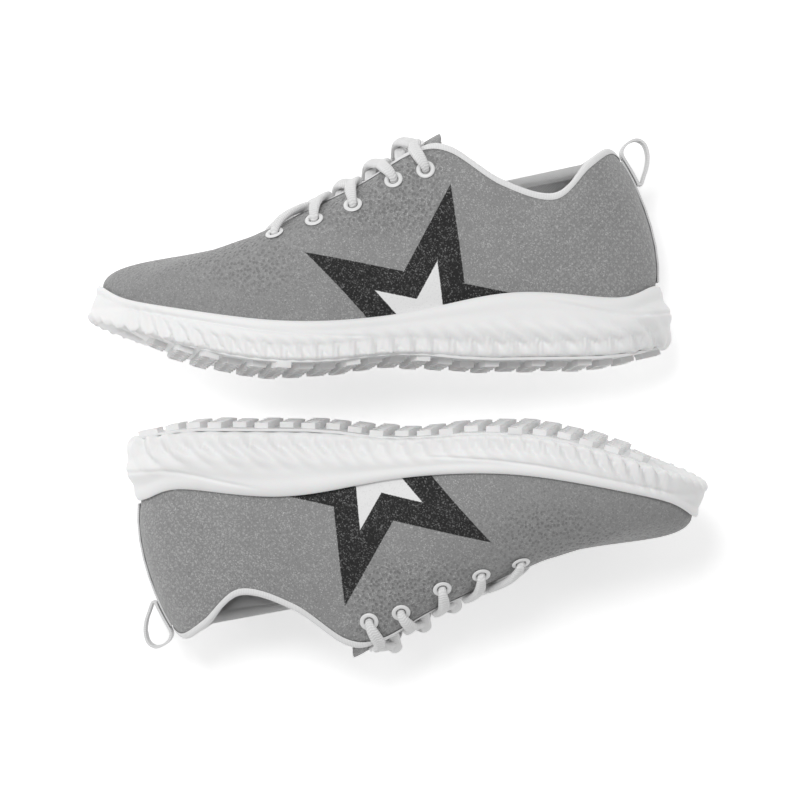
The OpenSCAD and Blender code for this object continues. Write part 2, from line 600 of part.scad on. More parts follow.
// ---- laying down
module lay(lie) {
    side = lie == left_lie ? 1 : -1;
    translate(lie[3]) rotate([0, 0, lie[0]])
        rotate([-side * lie[1], side * lie[2], 0])
            rotate([90, 0, side > 0 ? 180 : 0])
                mirror([0, side > 0 ? 0 : 1, 0]) children();
}

lay(left_lie) midsole();  // left_midsole
lay(left_lie) outsole();  // left_outsole
lay(left_lie) lasting_board();  // left_lasting_board
lay(left_lie) insole();  // left_insole
lay(left_lie) upper();  // left_upper
lay(left_lie) toe_puff();  // left_toe_puff
lay(left_lie) heel_counter();  // left_heel_counter
lay(left_lie) collar_foam();  // left_collar_foam
lay(left_lie) eyestay_backing();  // left_eyestay_backing
lay(left_lie) lining();  // left_lining
lay(left_lie) topline_binding();  // left_topline_binding
lay(left_lie) eyelets();  // left_eyelets
lay(left_lie) lace();  // left_lace
lay(left_lie) aglets();  // left_aglets
lay(left_lie) tongue_cover();  // left_tongue_cover
lay(left_lie) tongue_foam();  // left_tongue_foam
lay(left_lie) tongue_lining();  // left_tongue_lining
lay(left_lie) lace_keeper();  // left_lace_keeper
lay(left_lie) heel_tape();  // left_heel_tape
lay(left_lie) pull_loop();  // left_pull_loop
lay(right_lie) midsole();  // right_midsole
lay(right_lie) outsole();  // right_outsole
lay(right_lie) lasting_board();  // right_lasting_board
lay(right_lie) insole();  // right_insole
lay(right_lie) upper();  // right_upper
lay(right_lie) toe_puff();  // right_toe_puff
lay(right_lie) heel_counter();  // right_heel_counter
lay(right_lie) collar_foam();  // right_collar_foam
lay(right_lie) eyestay_backing();  // right_eyestay_backing
lay(right_lie) lining();  // right_lining
lay(right_lie) topline_binding();  // right_topline_binding
lay(right_lie) eyelets();  // right_eyelets
lay(right_lie) lace();  // right_lace
lay(right_lie) aglets();  // right_aglets
lay(right_lie) tongue_cover();  // right_tongue_cover
lay(right_lie) tongue_foam();  // right_tongue_foam
lay(right_lie) tongue_lining();  // right_tongue_lining
lay(right_lie) lace_keeper();  // right_lace_keeper
lay(right_lie) heel_tape();  // right_heel_tape
lay(right_lie) pull_loop();  // right_pull_loop
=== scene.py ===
# Pair of lace-up cheer shoes, laid on their sides with the soles towards each other.
import json
import math

import bpy
import numpy as np
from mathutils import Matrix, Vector, kdtree


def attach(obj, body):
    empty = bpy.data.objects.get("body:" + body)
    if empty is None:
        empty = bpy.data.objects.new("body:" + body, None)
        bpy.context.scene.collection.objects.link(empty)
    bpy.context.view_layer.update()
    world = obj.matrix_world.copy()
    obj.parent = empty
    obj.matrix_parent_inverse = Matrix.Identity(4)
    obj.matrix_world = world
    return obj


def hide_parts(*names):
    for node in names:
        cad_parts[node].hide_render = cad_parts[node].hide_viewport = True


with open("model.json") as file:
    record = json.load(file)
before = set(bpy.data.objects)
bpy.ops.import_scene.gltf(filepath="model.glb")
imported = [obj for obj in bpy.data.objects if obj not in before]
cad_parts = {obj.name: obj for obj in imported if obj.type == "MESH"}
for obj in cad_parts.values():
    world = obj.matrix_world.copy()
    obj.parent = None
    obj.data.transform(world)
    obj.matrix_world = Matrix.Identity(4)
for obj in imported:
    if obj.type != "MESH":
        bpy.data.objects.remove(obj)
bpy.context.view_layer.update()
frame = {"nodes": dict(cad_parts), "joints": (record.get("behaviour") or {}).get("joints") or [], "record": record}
record = frame["record"]
nodes = frame["nodes"]


# ---------------------------------------------------------------- the shoes' own directions
TREAD_FORWARD, TREAD_OUT = 0.058, 0.00054  # from the point under the heel to the tread's mount, in metres


def shoe_axes(side):
    """Point on the ground under the heel, then the toeward, outward and upward directions of one shoe."""
    tread = next(m for m in record["mounts"] if m["name"] == side + "_tread")
    tilt = next(j for j in frame["joints"] if j["name"] == side + "_tongue_tilt")
    up = -np.array(tread["axis"])
    across = -np.array(tilt["axis"])
    toeward = np.cross(across, up)
    outward = across if side == "left" else -across
    heel = np.array(tread["pos_m"]) - TREAD_FORWARD * toeward - TREAD_OUT * outward
    return heel, np.array([toeward, outward, up])


AXES = {side: shoe_axes(side) for side in ("left", "right")}


def points_of(piece):
    places = np.empty(len(piece.data.vertices) * 3)
    piece.data.vertices.foreach_get("co", places)
    return places.reshape(-1, 3)


def put_points(piece, places):
    piece.data.vertices.foreach_set("co", places.ravel())
    piece.data.update()


def normals_of(piece):
    found = np.empty(len(piece.data.vertices) * 3)
    piece.data.vertices.foreach_get("normal", found)
    return found.reshape(-1, 3)


def in_shoe(side, places):
    """Row places in metres, as millimetres in the shoe's own frame."""
    heel, axes = AXES[side]
    return (places - heel) @ axes.T * 1000


def ease(t):
    t = np.clip(t, 0, 1)
    return t * t * (3 - 2 * t)


def smooth_join(a, b, c, d, t):
    """Value between b and c at the share t of the way, on a smooth curve that also meets a and d."""
    return 0.5 * (2 * b + (c - a) * t + (2 * a - 5 * b + 4 * c - d) * t * t
                  + (3 * b - a - 3 * c + d) * t ** 3)


def spline_through(rows, steps):
    """Smooth line through a few given points."""
    rows = np.array(rows, float)
    padded = np.vstack([2 * rows[0] - rows[1], rows, 2 * rows[-1] - rows[-2]])
    line = []
    for k in range(1, len(padded) - 2):
        a, b, c, d = padded[k - 1:k + 3]
        for t in np.arange(steps) / steps:
            line.append(smooth_join(a, b, c, d, t))
    return np.array(line + [rows[-1]])


# ---------------------------------------------------------------- handling of pieces
def only(*chosen):
    if bpy.context.object and bpy.context.object.mode != "OBJECT":
        bpy.ops.object.mode_set(mode="OBJECT")
    bpy.ops.object.select_all(action="DESELECT")
    for piece in chosen:
        piece.select_set(True)
    bpy.context.view_layer.objects.active = chosen[0]


def edit(piece, mode="VERT"):
    only(piece)
    bpy.ops.object.mode_set(mode="EDIT")
    bpy.ops.mesh.select_mode(type=mode)


def done():
    bpy.ops.object.mode_set(mode="OBJECT")


def merged_copy(node, name):
    """A new piece that starts as the CAD node's shape, its loose triangles joined into quads."""
    piece = bpy.data.objects.new(name, nodes[node].data.copy())
    bpy.context.scene.collection.objects.link(piece)
    piece.data.materials.clear()
    edit(piece)
    bpy.ops.mesh.select_all(action="SELECT")
    bpy.ops.mesh.remove_doubles(threshold=2e-5)
    bpy.ops.mesh.tris_convert_to_quads(face_threshold=math.radians(60), shape_threshold=math.radians(60))
    bpy.ops.mesh.customdata_custom_splitnormals_clear()
    done()
    return piece


def apply(piece, kind, **settings):
    only(piece)
    made = piece.modifiers.new(kind.title(), kind)
    for name, value in settings.items():
        setattr(made, name, value)
    bpy.ops.object.modifier_apply(modifier=made.name)


def rounded(piece, levels):
    apply(piece, "SUBSURF", levels=levels, render_levels=levels)


def mark_place(piece, side):
    """Keeps each point's place and facing in the shoe's own frame, for the patterns of the cloth and foam."""
    mesh = piece.data
    for name, values in (("shoe", in_shoe(side, points_of(piece))),
                         ("facing", normals_of(piece) @ AXES[side][1].T)):
        made = mesh.attributes.new(name, "FLOAT_VECTOR", "POINT")
        made.data.foreach_set("vector", values.astype(np.float32).ravel())


def settle(piece, side, body, finish, stands_for, sharp=None):
    """Smooth shading, place marks, finish, and the CAD body and nodes of a finished piece."""
    only(piece)
    if sharp is None:
        bpy.ops.object.shade_smooth()
    else:
        bpy.ops.object.shade_smooth_by_angle(angle=math.radians(sharp))
    mark_place(piece, side)
    piece.data.materials.clear()
    piece.data.materials.append(finish)
    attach(piece, f"{side}_{body}")
    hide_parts(*[f"{side}_{n}" for n in stands_for])
    return piece


def face_centres(piece):
    found = np.empty(len(piece.data.polygons) * 3)
    piece.data.polygons.foreach_get("center", found)
    return found.reshape(-1, 3)


def face_normals(piece):
    found = np.empty(len(piece.data.polygons) * 3)
    piece.data.polygons.foreach_get("normal", found)
    return found.reshape(-1, 3)


# ---------------------------------------------------------------- camera, light and floor
def set_camera():
    """Straight down on the pair through a long lens. The shown width is that at the height of level."""
    data = bpy.data.cameras.new("Camera")
    data.lens, data.sensor_width = 320, 36
    data.dof.use_dof = False
    camera = bpy.data.objects.new("Camera", data)
    shown_width, level = 0.376, 0.05
    middle_x, middle_y = 0.0018, -0.00115
    camera.location = (middle_x, middle_y, level + shown_width * data.lens / data.sensor_width)
    bpy.context.scene.collection.objects.link(camera)
    bpy.context.scene.camera = camera


def area_light(name, place, size, watts):
    data = bpy.data.lights.new(name, "AREA")
    data.shape, data.size, data.energy = "DISK", size, watts
    lamp = bpy.data.objects.new(name, data)
    lamp.location = place
    lamp.rotation_euler = (-Vector(place)).to_track_quat("-Z", "Y").to_euler()
    lamp.visible_camera = False
    bpy.context.scene.collection.objects.link(lamp)


FLOOR_SIZE, FLOOR_GAP = 12, 0.0003  # the floor lies a little below the shoes so that the two never touch


def set_studio():
    """Two soft lamps, an even white surround and a pale floor."""
    area_light("Overhead_softbox", (-0.35, 0.75, 2.0), 0.8, 18)
    area_light("Side_softbox", (-1.3, 0.5, 1.6), 0.9, 5)
    world = bpy.data.worlds.new("Studio")
    bpy.context.scene.world = world
    world.use_nodes = True
    world.node_tree.nodes["Background"].inputs["Color"].default_value = (1, 1, 1, 1)
    world.node_tree.nodes["Background"].inputs["Strength"].default_value = 0.5
    bpy.context.scene.view_settings.view_transform = "Standard"
    bpy.ops.mesh.primitive_plane_add(size=FLOOR_SIZE, location=(0, 0, -FLOOR_GAP))
    floor = bpy.context.object
    floor.name = "Floor"
    floor.data.materials.append(floor_finish())


# ---------------------------------------------------------------- small tools for finishes
def add(tree, kind, feeds=None, **settings):
    """One shader node with its settings, its inputs fed by values or by other nodes' outputs."""
    made = tree.nodes.new("ShaderNode" + kind)
    for name, value in settings.items():
        setattr(made, name, value)
    for socket, value in (feeds or {}).items():
        if isinstance(value, bpy.types.NodeSocket):
            tree.links.new(value, made.inputs[socket])
        else:
            made.inputs[socket].default_value = value
    return made


def noise(tree, place, scale, **settings):
    """Value of a noise at a place."""
    feeds = {label.title(): value for label, value in settings.items()}
    return add(tree, "TexNoise", {"Vector": place, "Scale": scale, **feeds}).outputs[0]


def times(tree, first, second):
    """Product of two values."""
    return calc(tree, "MULTIPLY", first, second)


def calc(tree, operation, first, second=0.0, third=0.0):
    return add(tree, "Math", {0: first, 1: second, 2: third}, operation=operation).outputs[0]


def blend(tree, share, first, second):
    """Mix of two colours or two numbers."""
    def numeric(v):
        return isinstance(v, (int, float)) or (isinstance(v, bpy.types.NodeSocket) and v.type == "VALUE")
    if numeric(first) and numeric(second):
        return add(tree, "Mix", {0: share, 2: first, 3: second}).outputs[0]
    return add(tree, "Mix", {0: share, 6: first, 7: second}, data_type="RGBA").outputs[2]


def ramp(tree, value, low, high, out_low=0.0, out_high=1.0):
    return add(tree, "MapRange", {0: value, 1: low, 2: high, 3: out_low, 4: out_high},
               interpolation_type="SMOOTHSTEP").outputs[0]


def grey(level):
    return (level, level, level, 1)


def new_group(name, inputs, outputs):
    """Empty node group with its sockets. inputs and outputs are {name: kind or (kind, default)}."""
    tree = bpy.data.node_groups.new(name, "ShaderNodeTree")
    for way, sockets in (("INPUT", inputs), ("OUTPUT", outputs)):
        for label, kind in sockets.items():
            kind, value = kind if isinstance(kind, tuple) else (kind, None)
            socket = tree.interface.new_socket(label, in_out=way, socket_type="NodeSocket" + kind)
            if value is not None:
                socket.default_value = value
    return tree, tree.nodes.new("NodeGroupInput").outputs, tree.nodes.new("NodeGroupOutput").inputs


def use(tree, group, **feeds):
    made = tree.nodes.new("ShaderNodeGroup")
    made.node_tree = group
    for label, value in feeds.items():
        label = label.replace("_", " ")
        if isinstance(value, bpy.types.NodeSocket):
            tree.links.new(value, made.inputs[label])
        else:
            made.inputs[label].default_value = value
    return made.outputs


def place_of(tree):
    """Place on the shoe in millimetres, and the facing, both in the shoe's own frame."""
    return (add(tree, "Attribute", attribute_name="shoe").outputs["Vector"],
            add(tree, "Attribute", attribute_name="facing").outputs["Vector"])


# ---------------------------------------------------------------- shared effects
def make_dot_rows():
    """Staggered rows of dots on a flat pattern: 1 in the middle of a dot, 0 between dots."""
    tree, inp, out = new_group("Staggered dots", {
        "Along": "Float", "Up": "Float", "Pitch": ("Float", 3.0), "Row height": ("Float", 1.8),
        "Wander": ("Float", 0.25), "Size": ("Float", 0.3)}, {"Dots": "Float"})
    a = calc(tree, "DIVIDE", inp["Along"], inp["Pitch"])
    b = calc(tree, "DIVIDE", inp["Up"], times(tree, inp["Row height"], 2.0))
    flat = add(tree, "CombineXYZ", {0: calc(tree, "ADD", a, b), 1: calc(tree, "SUBTRACT", a, b)}).outputs[0]
    cells = add(tree, "TexVoronoi", {"Vector": flat, "Scale": 1.0, "Randomness": inp["Wander"]},
                voronoi_dimensions="2D", feature="F1")
    soft = times(tree, inp["Size"], 0.35)
    tree.links.new(ramp(tree, cells.outputs["Distance"], soft, inp["Size"], 1.0, 0.0), out["Dots"])
    return tree


def make_wrapped_dots(dot_rows):
    """The same dots laid on the side, the top and the back of a shoe, joined softly where it turns."""
    tree, inp, out = new_group("Dots round the shoe", {
        "Place": "Vector", "Facing": "Vector", "Pitch": ("Float", 3.0), "Row height": ("Float", 1.8),
        "Wander": ("Float", 0.25), "Size": ("Float", 0.3)}, {"Dots": "Float"})
    p = add(tree, "SeparateXYZ", {0: inp["Place"]}).outputs
    n = add(tree, "SeparateXYZ", {0: inp["Facing"]}).outputs
    laid = []
    for along, up in ((p[0], p[2]), (p[0], p[1]), (p[1], p[2])):
        laid.append(use(tree, dot_rows, Along=along, Up=up, Pitch=inp["Pitch"], Row_height=inp["Row height"],
                        Wander=inp["Wander"], Size=inp["Size"])["Dots"])
    side, top, back = (calc(tree, "ABSOLUTE", n[k]) for k in (1, 2, 0))
    to_top = ramp(tree, calc(tree, "SUBTRACT", top, side), -0.15, 0.15)
    to_back = ramp(tree, calc(tree, "SUBTRACT", back, calc(tree, "MAXIMUM", side, top)), -0.12, 0.12)
    tree.links.new(blend(tree, to_back, blend(tree, to_top, laid[0], laid[1]), laid[2]), out["Dots"])
    return tree


def make_speckle():
    """Fine light and dark flecks of a heathered yarn, and a soft unevenness."""
    tree, inp, out = new_group("Yarn flecks", {"Place": "Vector", "Fleck size": ("Float", 0.5)},
                               {"Light": "Float", "Dark": "Float", "Uneven": "Float", "Fuzz": "Float"})
    scale = calc(tree, "DIVIDE", 1.0, inp["Fleck size"])
    grains = add(tree, "TexVoronoi", {"Vector": inp["Place"], "Scale": scale, "Randomness": 1.0},
                 feature="F1")
    pick = add(tree, "SeparateColor", {0: grains.outputs["Color"]}).outputs
    patches = noise(tree, inp["Place"], 0.16, detail=3.0)
    few = ramp(tree, patches, 0.3, 0.65, 0.72, 0.38)
    tree.links.new(times(tree, ramp(tree, pick[0], few, 1.0), pick[2]), out["Light"])
    tree.links.new(ramp(tree, pick[1], 0.8, 1.0), out["Dark"])
    tree.links.new(noise(tree, inp["Place"], 0.035, detail=4.0), out["Uneven"])
    tree.links.new(noise(tree, inp["Place"], 2.6, detail=3.0, roughness=0.7), out["Fuzz"])
    return tree


STAR_SIZE, STAR_X, STAR_Z, STAR_TURN = 65.0, 121.0, 22.0, 11.7
STAR_NOTCH = 0.382  # reach of a five-pointed star's notches as a share of its points


def make_star():
    """A plain five-pointed star on the side of the shoe with a smaller star of the same shape in it."""
    tree, inp, out = new_group("Star print", {"Place": "Vector", "Inner share": ("Float", 0.43)},
                               {"Star": "Float", "Inner star": "Float"})
    p = add(tree, "SeparateXYZ", {0: inp["Place"]}).outputs
    ripple = noise(tree, inp["Place"], 1.6, detail=1.0)
    edge = times(tree, calc(tree, "SUBTRACT", ripple, 0.5), 0.5)
    x = calc(tree, "SUBTRACT", p[0], STAR_X)
    z = calc(tree, "SUBTRACT", p[2], STAR_Z)
    radius = calc(tree, "SQRT", calc(tree, "ADD", times(tree, x, x), times(tree, z, z)))
    lean = calc(tree, "ADD", calc(tree, "ARCTAN2", x, z), math.radians(STAR_TURN + 36 + 720))
    folded = calc(tree, "ABSOLUTE", calc(tree, "SUBTRACT",
                                         calc(tree, "MODULO", lean, math.radians(72)), math.radians(36)))
    tip = np.array([1.0, 0.0])
    notch = STAR_NOTCH * np.array([math.cos(math.radians(36)), math.sin(math.radians(36))])
    side = (notch - tip) / np.linalg.norm(notch - tip)
    out_dir = np.array([side[1], -side[0]])
    if out_dir @ tip < 0:
        out_dir = -out_dir
    reach = float(out_dir @ tip)
    across = calc(tree, "ADD",
                  times(tree, times(tree, radius, calc(tree, "COSINE", folded)), float(out_dir[0])),
                  times(tree, times(tree, radius, calc(tree, "SINE", folded)), float(out_dir[1])))
    across = calc(tree, "ADD", across, edge)
    outer = calc(tree, "SUBTRACT", across, reach * STAR_SIZE)
    inner = calc(tree, "SUBTRACT", across, times(tree, inp["Inner share"], reach * STAR_SIZE))
    tree.links.new(ramp(tree, outer, -0.18, 0.18, 1.0, 0.0), out["Star"])
    tree.links.new(ramp(tree, inner, -0.18, 0.18, 1.0, 0.0), out["Inner star"])
    return tree


def make_ribs():
    """Ribs and crossing yarns of a woven tape or lace, along its own length, and the painted shade in the grooves
    between the ribs.
    """
    tree, inp, out = new_group("Woven ribs", {
        "Lay": "Vector", "Rib": ("Float", 1.2), "Slant": ("Float", 0.35), "Yarn": ("Float", 0.55)},
        {"Height": "Float", "Groove shade": "Float"})
    p = add(tree, "SeparateXYZ", {0: inp["Lay"]}).outputs
    jitter = noise(tree, inp["Lay"], 0.9, detail=2.0)
    run = calc(tree, "ADD", p[0], times(tree, calc(tree, "ABSOLUTE", p[1]), inp["Slant"]))
    run = calc(tree, "ADD", run, times(tree, jitter, 0.35))
    rib = calc(tree, "SINE", calc(tree, "DIVIDE", times(tree, run, 2 * math.pi), inp["Rib"]))
    yarn = calc(tree, "SINE", calc(tree, "DIVIDE", times(tree, p[1], 2 * math.pi), inp["Yarn"]))
    raised = calc(tree, "ADD", times(tree, rib, 0.36), times(tree, yarn, 0.14))
    tree.links.new(calc(tree, "ADD", raised, 0.5), out["Height"])
    tree.links.new(ramp(tree, rib, -1.0, -0.2, 1.0, 0.0), out["Groove shade"])
    return tree


def make_wear():
    """Soft dust and scuffs, more of them where the surface stands proud."""
    tree, inp, out = new_group("Light wear", {"Place": "Vector", "Amount": ("Float", 0.5)},
                               {"Scuff": "Float", "Dust": "Float"})
    broad = noise(tree, inp["Place"], 0.045, detail=5.0, roughness=0.6)
    fine = noise(tree, inp["Place"], 0.9, detail=4.0, roughness=0.7)
    proud = ramp(tree, add(tree, "NewGeometry").outputs["Pointiness"], 0.5, 0.56)
    scuff = times(tree, times(tree, ramp(tree, fine, 0.5, 0.75), proud), inp["Amount"])
    tree.links.new(scuff, out["Scuff"])
    tree.links.new(times(tree, ramp(tree, broad, 0.45, 0.75), inp["Amount"]), out["Dust"])
    return tree


DOT_ROWS = make_dot_rows()
DOTS = make_wrapped_dots(DOT_ROWS)
FLECKS = make_speckle()
STAR = make_star()
RIBS = make_ribs()
WEAR = make_wear()


# ---------------------------------------------------------------- finishes
def finish(name, **fixed):
    """New material with its Principled shader; fixed numbers go on the shader's own sockets."""
    made = bpy.data.materials.new(name)
    made.use_nodes = True
    tree = made.node_tree
    shader = tree.nodes["Principled BSDF"]
    for label, value in fixed.items():
        shader.inputs[label.replace("_", " ")].default_value = value
    return made, tree, shader


def raise_surface(tree, shader, height, depth, strength=1.0):
    """Bump of depth millimetres from a height between 0 and 1."""
    bump = add(tree, "Bump", {"Height": height, "Distance": depth / 1000, "Strength": strength})
    tree.links.new(bump.outputs[0], shader.inputs["Normal"])


def floor_finish():
    made, tree, shader = finish("Pale floor", Roughness=0.9, Emission_Strength=0.42)
    shader.inputs["Emission Color"].default_value = (1, 1, 1, 1)
    cloud = noise(tree, add(tree, "TexCoord").outputs["Object"], 3.0)
    tree.links.new(blend(tree, cloud, grey(0.9), grey(0.93)), shader.inputs["Base Color"])
    return made


def knit_finish(printed=True, name="Printed knit"):
    """Heathered grey knit with sunk mesh dimples, raised dots at the heel and the star print."""
    made, tree, shader = finish(name, Roughness=0.82, Sheen_Weight=0.25, Sheen_Roughness=0.4)
    place, facing = place_of(tree)
    p = add(tree, "SeparateXYZ", {0: place}).outputs
    flecks = use(tree, FLECKS, Place=place, Fleck_size=0.48)
    dimples = use(tree, DOTS, Place=place, Facing=facing, Pitch=2.9, Row_height=1.75, Wander=0.8,
                  Size=0.4)["Dots"]
    studs = use(tree, DOTS, Place=place, Facing=facing, Pitch=4.0, Row_height=2.1, Wander=0.2,
                Size=0.3)["Dots"]
    # mesh zone: toe, vamp and eyelet rows; the middle is denser; the heel has raised dots
    front = ramp(tree, p[0], 150.0, 205.0)
    high = times(tree, ramp(tree, p[2], 52.0, 74.0), ramp(tree, p[0], 95.0, 125.0))
    zone = calc(tree, "MAXIMUM", calc(tree, "MAXIMUM", front, high), 0.16)
    low_toe = ramp(tree, calc(tree, "SUBTRACT", p[2], times(tree, ramp(tree, p[0], 190.0, 262.0), 14.0)),
                   30.0, 46.0, 0.35, 1.0)
    zone = times(tree, zone, low_toe)
    rear = ramp(tree, p[0], 55.0, 92.0, 1.0, 0.0)
    sunk = times(tree, dimples, zone)
    stud = times(tree, studs, rear)
    ground = blend(tree, flecks["Uneven"], grey(0.235), grey(0.29))
    base = blend(tree, times(tree, flecks["Dark"], 0.45), ground, grey(0.15))
    base = blend(tree, times(tree, flecks["Light"], blend(tree, front, 0.62, 0.34)), base, grey(0.62))
    base = blend(tree, times(tree, sunk, 0.42), base, grey(0.11))
    base = blend(tree, times(tree, stud, 0.3), base, grey(0.5))
    if printed:
        star = use(tree, STAR, Place=place)
        ink = blend(tree, times(tree, flecks["Light"], 0.55), grey(0.007), grey(0.32))
        base = blend(tree, star["Star"], base, ink)
        white = blend(tree, times(tree, flecks["Dark"], 0.2), grey(0.82), grey(0.5))
        base = blend(tree, star["Inner star"], base, white)
    tree.links.new(base, shader.inputs["Base Color"])
    tree.links.new(blend(tree, flecks["Fuzz"], 0.72, 0.92), shader.inputs["Roughness"])
    height = calc(tree, "ADD", times(tree, flecks["Fuzz"], 0.45), 0.4)
    height = calc(tree, "SUBTRACT", height, times(tree, sunk, 0.9))
    height = calc(tree, "ADD", height, times(tree, stud, 0.5))
    raise_surface(tree, shader, height, 0.45, 0.9)
    return made


def foam_finish(name="Moulded foam", level=0.84):
    """Moulded white foam: fine closed-cell skin, faint dust in broad patches and scuffs on the ridges."""
    made, tree, shader = finish(name, Roughness=0.55, Subsurface_Weight=0.06, Subsurface_Scale=0.002)
    place, _ = place_of(tree)
    wear = use(tree, WEAR, Place=place, Amount=0.5)
    base = blend(tree, wear["Dust"], grey(level), grey(level * 0.94))
    base = blend(tree, times(tree, wear["Scuff"], 0.4), base, (level * 0.86, level * 0.85, level * 0.83, 1))
    cells = noise(tree, place, 1.7, detail=4.0, roughness=0.65)
    tree.links.new(base, shader.inputs["Base Color"])
    tree.links.new(blend(tree, cells, 0.48, 0.66), shader.inputs["Roughness"])
    raise_surface(tree, shader, cells, 0.12, 0.7)
    return made


def cloth_finish(name, level, weave=0.75, depth=0.18, tint=(1, 1, 1)):
    """Plain woven or knitted cloth: crossed yarns, faint unevenness and sheen."""
    made, tree, shader = finish(name, Roughness=0.85, Sheen_Weight=0.3, Sheen_Roughness=0.45)
    place, facing = place_of(tree)
    flecks = use(tree, FLECKS, Place=place, Fleck_size=0.6)
    loops = use(tree, DOTS, Place=place, Facing=facing, Pitch=weave * 2, Row_height=weave, Wander=0.12,
                Size=0.5)["Dots"]
    light = tuple(level * t for t in tint) + (1,)
    dim = tuple(level * 0.8 * t for t in tint) + (1,)
    base = blend(tree, times(tree, loops, 0.7), dim, light)
    base = blend(tree, times(tree, flecks["Uneven"], 0.25), base, dim)
    tree.links.new(base, shader.inputs["Base Color"])
    tree.links.new(blend(tree, flecks["Fuzz"], 0.75, 0.93), shader.inputs["Roughness"])
    raise_surface(tree, shader, calc(tree, "ADD", loops, times(tree, flecks["Fuzz"], 0.4)), depth, 0.8)
    return made


def woven_finish(name, level, rib=1.2, slant=0.35, yarn=0.55, depth=0.3):
    """White woven lace or tape, ribbed along its own length, with painted shade in its rib grooves."""
    made, tree, shader = finish(name, Roughness=0.75, Sheen_Weight=0.2, Sheen_Roughness=0.4)
    lay = add(tree, "Attribute", attribute_name="lay").outputs["Vector"]
    place, _ = place_of(tree)
    ribs = use(tree, RIBS, Lay=lay, Rib=rib, Slant=slant, Yarn=yarn)
    flecks = use(tree, FLECKS, Place=place, Fleck_size=0.5)
    # painted shade: the colour is darkened in the grooves between the ribs
    base = blend(tree, times(tree, ribs["Groove shade"], 0.5), grey(level), grey(level * 0.7))
    base = blend(tree, times(tree, flecks["Uneven"], 0.2), base, grey(level * 0.86))
    tree.links.new(base, shader.inputs["Base Color"])
    tree.links.new(blend(tree, flecks["Fuzz"], 0.68, 0.86), shader.inputs["Roughness"])
    height = calc(tree, "ADD", ribs["Height"], times(tree, flecks["Fuzz"], 0.2))
    raise_surface(tree, shader, height, depth, 0.9)
    return made


DARKER = 0.86  # share of the colour that a dark patch of a plain stock keeps


def plain_moulded(name, colour, low, high, scale=0.6, depth=0.08):
    """Moulded or pressed stock with a grain of its own: boards, stiffeners, eyelets and lace tips."""
    made, tree, shader = finish(name, Roughness=low)
    place = add(tree, "TexCoord").outputs["Object"]
    grain = noise(tree, place, scale * 1000, detail=5.0, roughness=0.65)
    cloud = noise(tree, place, 60.0, detail=3.0)
    dark = tuple(c * DARKER for c in colour) + (1,)
    base = blend(tree, cloud, tuple(colour) + (1,), dark)
    base = blend(tree, times(tree, ramp(tree, grain, 0.55, 0.8), 0.4), base, dark)
    tree.links.new(base, shader.inputs["Base Color"])
    tree.links.new(blend(tree, grain, low, high), shader.inputs["Roughness"])
    raise_surface(tree, shader, grain, depth, 0.7)
    return made


KNIT = knit_finish()
PLAIN_KNIT = knit_finish(printed=False, name="Plain knit")
FOAM = foam_finish()
# painted shade: the tread is the same white as the foam; its lower level, 0.78 against the foam's 0.84, paints the
# shade of its underside
TREAD = foam_finish("Tread rubber, white with painted shade", 0.78)
COLLAR_CLOTH = cloth_finish("White lining cloth", 0.93, weave=0.7)
INSOLE_CLOTH = cloth_finish("Insole cover cloth", 0.7, weave=0.9, depth=0.25)
PADDING = plain_moulded("Open-cell foam padding", (0.82, 0.76, 0.6), 0.85, 0.95, scale=1.4, depth=0.5)
BOARD = plain_moulded("Fibre board", (0.72, 0.66, 0.54), 0.8, 0.92, scale=0.5, depth=0.15)
STIFFENER = plain_moulded("Heat-set stiffener", (0.66, 0.6, 0.5), 0.6, 0.75, scale=0.8)
BACKING = plain_moulded("Fusible backing", (0.74, 0.74, 0.72), 0.75, 0.9, scale=1.1)
EYELET = plain_moulded("White lacquered eyelet", (0.83, 0.83, 0.83), 0.28, 0.42, scale=0.25, depth=0.03)
TIP = plain_moulded("Lace tip film", (0.8, 0.8, 0.8), 0.18, 0.32, scale=0.4, depth=0.05)
LACE = woven_finish("White lace weave", 0.82)
WEBBING = woven_finish("White webbing", 0.8, rib=0.9, slant=0.0, yarn=1.1, depth=0.22)
BINDING = woven_finish("White edge binding", 0.82, rib=0.8, slant=0.0, yarn=0.9, depth=0.14)


# ---------------------------------------------------------------- sole
SOLE_OUTLINE = [(274, 0), (268.5, 16), (254, 29.5), (231, 41.5), (203, 48), (173, 48.3), (141, 42),
                (108, 35.8), (76, 35), (47, 35.7), (21, 30), (5, 16), (0, 0)]


SOLE_BASE = 4.0  # thickness of the tread sheet with its lugs, in millimetres
MIDDLE_FROM, MIDDLE_TO = 40, 225  # ends of the sole's middle line
LIP_REACH, TREAD_REACH = 3.1, 2.9  # how far the foam's lip and the tread sheet reach past the CAD's
LUG_RIM, LUG_SLOPE, LUG_SINK = 0.0011, 0.0004, 0.0008  # raised rim round the sunk face of a lug, in metres


def bend(x):
    """Sideways curve of the sole towards the big toe."""
    return np.where(x > 150, -9 * ((x - 150) / 124) ** 2, 2.5 * ease((x - 40) / 60) * ease((150 - x) / 50))


def ground(x):
    """Height of the tread's line above the ground: heel bevel, arch and toe spring."""
    arch = 3.2 * np.sin(np.pi * np.clip((x - 90) / 85, 0, 1)) ** 2
    return np.where(x > 180, 0.0033 * (x - 180) ** 2, np.where(x < 45, 0.0047 * (45 - x) ** 2, arch))


def run_length(points):
    """Length along a line to each of its points."""
    steps = np.linalg.norm(np.diff(points, axis=0), axis=1)
    return np.concatenate([[0], np.cumsum(steps)])


def plan_tree(points):
    """Search tree of points seen from above."""
    tree = kdtree.KDTree(len(points))
    for i, p in enumerate(points):
        tree.insert((p[0], p[1], 0), i)
    tree.balance()
    return tree


def away_from_middle(local):
    """Direction in plan from the sole's middle line to each point."""
    x = np.clip(local[:, 0], MIDDLE_FROM, MIDDLE_TO)
    away = local[:, :2] - np.stack([x, bend(x)], 1)
    return away / np.maximum(np.linalg.norm(away, axis=1), 1e-6)[:, None]


